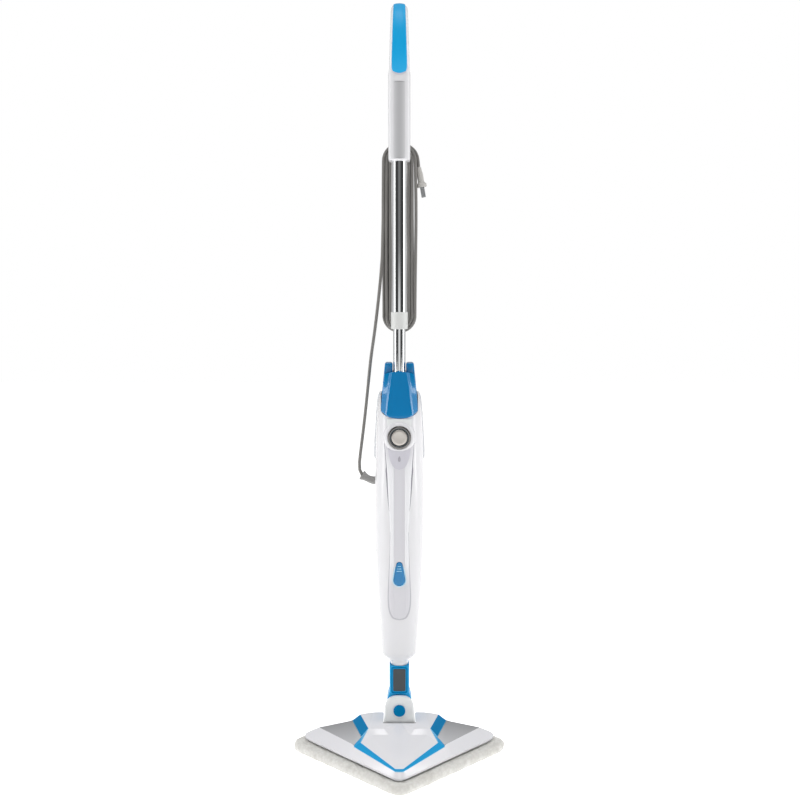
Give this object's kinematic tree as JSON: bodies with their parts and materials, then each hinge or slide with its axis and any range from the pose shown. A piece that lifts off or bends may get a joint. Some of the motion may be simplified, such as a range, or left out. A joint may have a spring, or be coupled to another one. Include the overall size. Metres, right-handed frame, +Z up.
{
  "type": "steam mop",
  "caption": "Upright steam mop with a shield-shaped pivoting head, slim body with boiler and rear water tank, steel pole, loop handle and a cord wound on two hooks.",
  "frame": {"origin": "on the floor at the pad's sole, under the pole's axis", "axes": "+Z up along the pole, -Y towards the head's front point, X across the head"},
  "size_m": [0.342, 0.2152, 1.165],
  "materials": {
    "pad_fabric": "fluffy microfibre",
    "black_fabric": "hook tape",
    "steel": "plated",
    "white_plastic": "gloss moulded",
    "pale_plastic": "satin moulded",
    "blue_plastic": "gloss moulded",
    "blue_rubber": "soft touch",
    "silver_plastic": "metallic paint",
    "hose": "silicone",
    "dark_plastic": "fine grain",
    "lens": "clear lens",
    "satin_metal": "satin",
    "boiler_cast": "cast",
    "board": "circuit board",
    "tank_plastic": "translucent",
    "seal_rubber": "seal",
    "chrome_tube": "polished",
    "cord_pvc": "flexible cord",
    "plug_pvc": "moulded plug"
  },
  "bodies": {
    "head": {"mop_pad": "pad_fabric", "grip_strips": "black_fabric", "steam_plate": "steel", "head_base": "white_plastic", "head_skirt": "white_plastic", "head_cover": "white_plastic", "front_trim": "blue_plastic", "trim_left": "blue_plastic", "trim_right": "blue_plastic", "window_left": "silver_plastic", "window_right": "silver_plastic", "steam_elbow": "hose", "head_screws": "steel", "pitch_axle": "steel"},
    "yoke": {"yoke": "pale_plastic", "swivel_pin": "steel", "pin_cap": "blue_plastic"},
    "upright": {"neck": "blue_plastic", "release_spring": "steel", "steam_pipe": "steel", "body_front_shell": "white_plastic", "body_rear_shell": "white_plastic", "body_screws": "steel", "inlay_panel": "silver_plastic", "indicator_lens": "lens", "button_bezel": "dark_plastic", "power_spring": "steel", "power_switch": "dark_plastic", "steam_spring": "steel", "steam_switch": "dark_plastic", "boiler": "boiler_cast", "pump": "dark_plastic", "pump_pipe": "hose", "control_board": "board", "water_hose": "hose", "tank_dock": "white_plastic", "top_cap": "blue_plastic", "lower_tube": "chrome_tube", "collar": "pale_plastic", "upper_tube": "chrome_tube", "handle_front_shell": "white_plastic", "handle_rear_shell": "white_plastic", "handle_grip": "blue_rubber", "handle_panel": "silver_plastic", "handle_screws": "steel", "strain_relief": "cord_pvc", "power_cord": "cord_pvc", "cord_hank": "cord_pvc", "cord_tail": "cord_pvc", "plug": "plug_pvc", "plug_blades": "steel"},
    "water_tank": {"tank_shell": "tank_plastic", "tank_front": "tank_plastic", "tank_valve": "dark_plastic", "tank_seal": "seal_rubber"},
    "fill_cap": {"tank_cap": "blue_plastic"},
    "power_button": {"power_button": "satin_metal"},
    "steam_button": {"steam_button": "blue_plastic"},
    "release_button": {"release_button": "dark_plastic"},
    "cord_hook": {"cord_hook": "pale_plastic"}
  },
  "joints": [
    {"name": "yoke_pitch", "type": "hinge", "parent": "head", "child": "yoke", "pos_m": [0, 0, 0.036], "axis": [-1, 0, 0], "range_deg": [0, 70]},
    {"name": "neck_swivel", "type": "hinge", "parent": "yoke", "child": "upright", "pos_m": [0, 0, 0.071], "axis": [0, 1, 0], "range_deg": [-60, 60]},
    {"name": "power_press", "type": "slide", "parent": "upright", "child": "power_button", "axis": [0, 1, 0], "range_m": [0, 0.003], "stiffness_N_per_m": 500, "springref_m": -0.002, "deforming": ["power_spring"]},
    {"name": "steam_press", "type": "slide", "parent": "upright", "child": "steam_button", "axis": [0, 1, 0], "range_m": [0, 0.0025], "stiffness_N_per_m": 500, "springref_m": -0.002, "deforming": ["steam_spring"]},
    {"name": "release_press", "type": "slide", "parent": "upright", "child": "release_button", "axis": [0, 1, 0], "range_m": [0, 0.003], "stiffness_N_per_m": 700, "springref_m": -0.002, "deforming": ["release_spring"]},
    {"name": "tank_slide", "type": "slide", "parent": "upright", "child": "water_tank", "axis": [0, 1, 0], "range_m": [0, 0.08]},
    {"name": "fill_cap_turn", "type": "hinge", "parent": "water_tank", "child": "fill_cap", "pos_m": [0, 0.055, 0.545], "axis": [0, 1, 0], "range_deg": [0, 90]},
    {"name": "hook_turn", "type": "hinge", "parent": "upright", "child": "cord_hook", "pos_m": [0, 0.03, 0.938], "axis": [0, 1, 0], "range_deg": [0, 180]}
  ]
}
